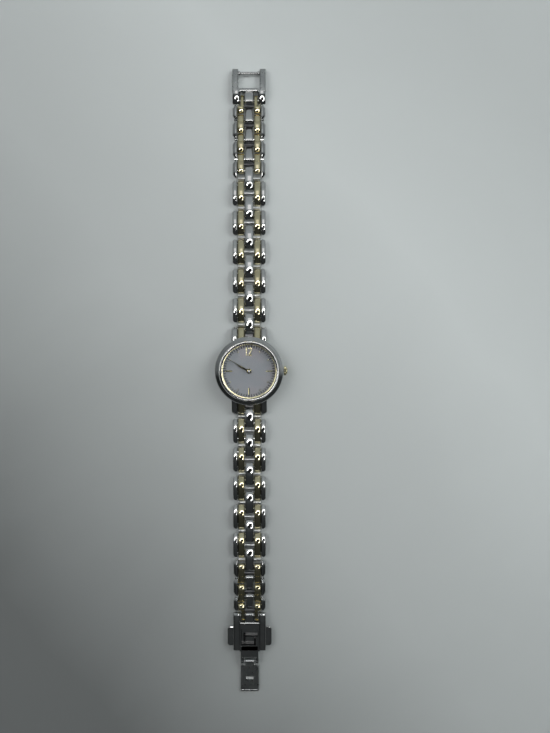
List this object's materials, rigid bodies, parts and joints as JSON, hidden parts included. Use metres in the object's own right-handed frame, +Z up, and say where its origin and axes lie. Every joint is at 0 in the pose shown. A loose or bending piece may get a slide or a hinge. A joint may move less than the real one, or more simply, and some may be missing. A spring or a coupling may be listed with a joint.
{
  "type": "bracelet watch",
  "caption": "Small round two-tone quartz watch lying open on its link bracelet, with two hands, a crown and a push-button folding clasp.",
  "frame": {"origin": "centre of the case back's resting face, under the middle of the dial", "axes": "+X towards 3 o'clock and the crown, +Y towards 12 o'clock along the open bracelet, +Z up through the dial"},
  "size_m": [0.0233, 0.2021, 0.006],
  "materials": {
    "polished_steel": "polished",
    "gold_plate": "polished",
    "crystal_glass": "clear",
    "seal_rubber": "matte",
    "dial_paint": "satin",
    "movement_brass": "satin",
    "holder_plastic": "matte",
    "coil_copper": "enamelled",
    "board_laminate": "lacquered"
  },
  "bodies": {
    "head": {"case_middle": "polished_steel", "lug_inlays": "gold_plate", "lug_pins": "polished_steel", "bezel": "polished_steel", "dial_ring": "gold_plate", "crystal": "crystal_glass", "gaskets": "seal_rubber", "case_back": "polished_steel", "dial": "dial_paint", "dial_markers": "gold_plate", "main_plate": "movement_brass", "movement_holder": "holder_plastic", "battery": "polished_steel", "drive_coil": "coil_copper", "circuit_board": "board_laminate"},
    "setting_lever": {"setting_lever": "polished_steel"},
    "crown": {"crown": "gold_plate", "winding_stem": "polished_steel"},
    "minute_hand": {"minute_hand": "gold_plate", "cannon_pinion": "polished_steel"},
    "hour_hand": {"hour_hand": "gold_plate", "hour_wheel": "movement_brass"},
    "minute_wheel": {"minute_wheel": "movement_brass"},
    "step_rotor": {"step_rotor": "polished_steel"},
    "centre_link_12_1": {"centre_link_12_1": "polished_steel"},
    "block_link_12_1": {"block_link_12_1": "polished_steel"},
    "centre_link_12_2": {"centre_link_12_2": "polished_steel"},
    "block_link_12_2": {"block_link_12_2": "polished_steel"},
    "centre_link_12_3": {"centre_link_12_3": "polished_steel"},
    "block_link_12_3": {"block_link_12_3": "polished_steel"},
    "centre_link_12_4": {"centre_link_12_4": "polished_steel"},
    "block_link_12_4": {"block_link_12_4": "polished_steel"},
    "centre_link_12_5": {"centre_link_12_5": "polished_steel"},
    "block_link_12_5": {"block_link_12_5": "polished_steel"},
    "centre_link_12_6": {"centre_link_12_6": "polished_steel"},
    "small_link_12_1": {"small_link_12_1": "polished_steel"},
    "small_link_12_2": {"small_link_12_2": "polished_steel"},
    "small_link_12_3": {"small_link_12_3": "polished_steel"},
    "small_link_12_4": {"small_link_12_4": "polished_steel"},
    "clasp_frame": {"clasp_frame": "polished_steel", "frame_bar": "polished_steel"},
    "centre_link_6_1": {"centre_link_6_1": "polished_steel"},
    "block_link_6_1": {"block_link_6_1": "polished_steel"},
    "centre_link_6_2": {"centre_link_6_2": "polished_steel"},
    "block_link_6_2": {"block_link_6_2": "polished_steel"},
    "centre_link_6_3": {"centre_link_6_3": "polished_steel"},
    "block_link_6_3": {"block_link_6_3": "polished_steel"},
    "centre_link_6_4": {"centre_link_6_4": "polished_steel"},
    "block_link_6_4": {"block_link_6_4": "polished_steel"},
    "centre_link_6_5": {"centre_link_6_5": "polished_steel"},
    "block_link_6_5": {"block_link_6_5": "polished_steel"},
    "centre_link_6_6": {"centre_link_6_6": "polished_steel"},
    "small_link_6_1": {"small_link_6_1": "polished_steel"},
    "small_link_6_2": {"small_link_6_2": "polished_steel"},
    "small_link_6_3": {"small_link_6_3": "polished_steel"},
    "clasp_box": {"clasp_box": "polished_steel", "tongue_pin": "polished_steel"},
    "clasp_tongue": {"clasp_tongue": "polished_steel"},
    "button_right": {"button_right": "polished_steel"},
    "button_left": {"button_left": "polished_steel"}
  },
  "joints": [
    {"name": "tongue_fold", "type": "hinge", "parent": "clasp_box", "child": "clasp_tongue", "pos_m": [0, -0.09529, 0.00145], "axis": [-1, 0, 0], "range_deg": [0, 180]},
    {"name": "right_button_push", "type": "slide", "parent": "clasp_box", "child": "button_right", "axis": [-1, 0, 0], "range_m": [0, 0.0006], "stiffness_N_per_m": 300},
    {"name": "left_button_push", "type": "slide", "parent": "clasp_box", "child": "button_left", "axis": [1, 0, 0], "range_m": [0, 0.0006], "stiffness_N_per_m": 300},
    {"name": "crown_pull", "type": "slide", "parent": "head", "child": "setting_lever", "axis": [1, 0, 0], "range_m": [0, 0.001]},
    {"name": "crown_turn", "type": "hinge", "parent": "setting_lever", "child": "crown", "pos_m": [0, 0, 0.00205], "axis": [1, 0, 0], "continuous": true},
    {"name": "minute_turn", "type": "hinge", "parent": "head", "child": "minute_hand", "pos_m": [0, 0, 0], "axis": [0, 0, -1], "continuous": true},
    {"name": "hour_turn", "type": "hinge", "parent": "head", "child": "hour_hand", "pos_m": [0, 0, 0], "axis": [0, 0, -1], "continuous": true},
    {"name": "minute_wheel_turn", "type": "hinge", "parent": "head", "child": "minute_wheel", "pos_m": [0, 0.00288, 0], "axis": [0, 0, -1], "continuous": true},
    {"name": "rotor_turn", "type": "hinge", "parent": "head", "child": "step_rotor", "pos_m": [-0.0042, 0.0025, 0], "axis": [0, 0, -1], "continuous": true},
    {"name": "centre_link_12_1_hinge", "type": "hinge", "parent": "head", "child": "centre_link_12_1", "pos_m": [0, 0.01348, 0.0011], "axis": [-1, 0, 0], "range_deg": [-8, 25]},
    {"name": "block_link_12_1_hinge", "type": "hinge", "parent": "centre_link_12_1", "child": "block_link_12_1", "pos_m": [0, 0.01705, 0.0011], "axis": [1, 0, 0], "range_deg": [-25, 8]},
    {"name": "centre_link_12_2_hinge", "type": "hinge", "parent": "block_link_12_1", "child": "centre_link_12_2", "pos_m": [0, 0.02208, 0.0011], "axis": [-1, 0, 0], "range_deg": [-8, 25]},
    {"name": "block_link_12_2_hinge", "type": "hinge", "parent": "centre_link_12_2", "child": "block_link_12_2", "pos_m": [0, 0.02641, 0.0011], "axis": [1, 0, 0], "range_deg": [-25, 8]},
    {"name": "centre_link_12_3_hinge", "type": "hinge", "parent": "block_link_12_2", "child": "centre_link_12_3", "pos_m": [0, 0.03143, 0.0011], "axis": [-1, 0, 0], "range_deg": [-8, 25]},
    {"name": "block_link_12_3_hinge", "type": "hinge", "parent": "centre_link_12_3", "child": "block_link_12_3", "pos_m": [0, 0.03576, 0.0011], "axis": [1, 0, 0], "range_deg": [-25, 8]},
    {"name": "centre_link_12_4_hinge", "type": "hinge", "parent": "block_link_12_3", "child": "centre_link_12_4", "pos_m": [0, 0.04079, 0.0011], "axis": [-1, 0, 0], "range_deg": [-8, 25]},
    {"name": "block_link_12_4_hinge", "type": "hinge", "parent": "centre_link_12_4", "child": "block_link_12_4", "pos_m": [0, 0.04512, 0.0011], "axis": [1, 0, 0], "range_deg": [-25, 8]},
    {"name": "centre_link_12_5_hinge", "type": "hinge", "parent": "block_link_12_4", "child": "centre_link_12_5", "pos_m": [0, 0.05015, 0.0011], "axis": [-1, 0, 0], "range_deg": [-8, 25]},
    {"name": "block_link_12_5_hinge", "type": "hinge", "parent": "centre_link_12_5", "child": "block_link_12_5", "pos_m": [0, 0.05448, 0.0011], "axis": [1, 0, 0], "range_deg": [-25, 8]},
    {"name": "centre_link_12_6_hinge", "type": "hinge", "parent": "block_link_12_5", "child": "centre_link_12_6", "pos_m": [0, 0.05951, 0.0011], "axis": [-1, 0, 0], "range_deg": [-8, 25]},
    {"name": "small_link_12_1_hinge", "type": "hinge", "parent": "centre_link_12_6", "child": "small_link_12_1", "pos_m": [0, 0.06418, 0.0011], "axis": [1, 0, 0], "range_deg": [-25, 8]},
    {"name": "small_link_12_2_hinge", "type": "hinge", "parent": "small_link_12_1", "child": "small_link_12_2", "pos_m": [0, 0.06783, 0.0011], "axis": [-1, 0, 0], "range_deg": [-8, 25]},
    {"name": "small_link_12_3_hinge", "type": "hinge", "parent": "small_link_12_2", "child": "small_link_12_3", "pos_m": [0, 0.07401, 0.0011], "axis": [1, 0, 0], "range_deg": [-25, 8]},
    {"name": "small_link_12_4_hinge", "type": "hinge", "parent": "small_link_12_3", "child": "small_link_12_4", "pos_m": [0, 0.08019, 0.0011], "axis": [-1, 0, 0], "range_deg": [-8, 25]},
    {"name": "clasp_frame_hinge", "type": "hinge", "parent": "small_link_12_4", "child": "clasp_frame", "pos_m": [0, 0.08637, 0.0011], "axis": [1, 0, 0], "range_deg": [-25, 8]},
    {"name": "centre_link_6_1_hinge", "type": "hinge", "parent": "head", "child": "centre_link_6_1", "pos_m": [0, -0.01348, 0.0011], "axis": [1, 0, 0], "range_deg": [-8, 25]},
    {"name": "block_link_6_1_hinge", "type": "hinge", "parent": "centre_link_6_1", "child": "block_link_6_1", "pos_m": [0, -0.01705, 0.0011], "axis": [-1, 0, 0], "range_deg": [-25, 8]},
    {"name": "centre_link_6_2_hinge", "type": "hinge", "parent": "block_link_6_1", "child": "centre_link_6_2", "pos_m": [0, -0.02208, 0.0011], "axis": [1, 0, 0], "range_deg": [-8, 25]},
    {"name": "block_link_6_2_hinge", "type": "hinge", "parent": "centre_link_6_2", "child": "block_link_6_2", "pos_m": [0, -0.02641, 0.0011], "axis": [-1, 0, 0], "range_deg": [-25, 8]},
    {"name": "centre_link_6_3_hinge", "type": "hinge", "parent": "block_link_6_2", "child": "centre_link_6_3", "pos_m": [0, -0.03143, 0.0011], "axis": [1, 0, 0], "range_deg": [-8, 25]},
    {"name": "block_link_6_3_hinge", "type": "hinge", "parent": "centre_link_6_3", "child": "block_link_6_3", "pos_m": [0, -0.03576, 0.0011], "axis": [-1, 0, 0], "range_deg": [-25, 8]},
    {"name": "centre_link_6_4_hinge", "type": "hinge", "parent": "block_link_6_3", "child": "centre_link_6_4", "pos_m": [0, -0.04079, 0.0011], "axis": [1, 0, 0], "range_deg": [-8, 25]},
    {"name": "block_link_6_4_hinge", "type": "hinge", "parent": "centre_link_6_4", "child": "block_link_6_4", "pos_m": [0, -0.04512, 0.0011], "axis": [-1, 0, 0], "range_deg": [-25, 8]},
    {"name": "centre_link_6_5_hinge", "type": "hinge", "parent": "block_link_6_4", "child": "centre_link_6_5", "pos_m": [0, -0.05015, 0.0011], "axis": [1, 0, 0], "range_deg": [-8, 25]},
    {"name": "block_link_6_5_hinge", "type": "hinge", "parent": "centre_link_6_5", "child": "block_link_6_5", "pos_m": [0, -0.05448, 0.0011], "axis": [-1, 0, 0], "range_deg": [-25, 8]},
    {"name": "centre_link_6_6_hinge", "type": "hinge", "parent": "block_link_6_5", "child": "centre_link_6_6", "pos_m": [0, -0.05951, 0.0011], "axis": [1, 0, 0], "range_deg": [-8, 25]},
    {"name": "small_link_6_1_hinge", "type": "hinge", "parent": "centre_link_6_6", "child": "small_link_6_1", "pos_m": [0, -0.06418, 0.0011], "axis": [-1, 0, 0], "range_deg": [-25, 8]},
    {"name": "small_link_6_2_hinge", "type": "hinge", "parent": "small_link_6_1", "child": "small_link_6_2", "pos_m": [0, -0.06783, 0.0011], "axis": [1, 0, 0], "range_deg": [-8, 25]},
    {"name": "small_link_6_3_hinge", "type": "hinge", "parent": "small_link_6_2", "child": "small_link_6_3", "pos_m": [0, -0.07401, 0.0011], "axis": [-1, 0, 0], "range_deg": [-25, 8]},
    {"name": "clasp_box_hinge", "type": "hinge", "parent": "small_link_6_3", "child": "clasp_box", "pos_m": [0, -0.08019, 0.0011], "axis": [1, 0, 0], "range_deg": [-8, 25]}
  ],
  "couplings": [
    {"joint": "hour_turn", "follows": "minute_turn", "ratio": 0.083333},
    {"joint": "minute_wheel_turn", "follows": "minute_turn", "ratio": -0.33333}
  ]
}
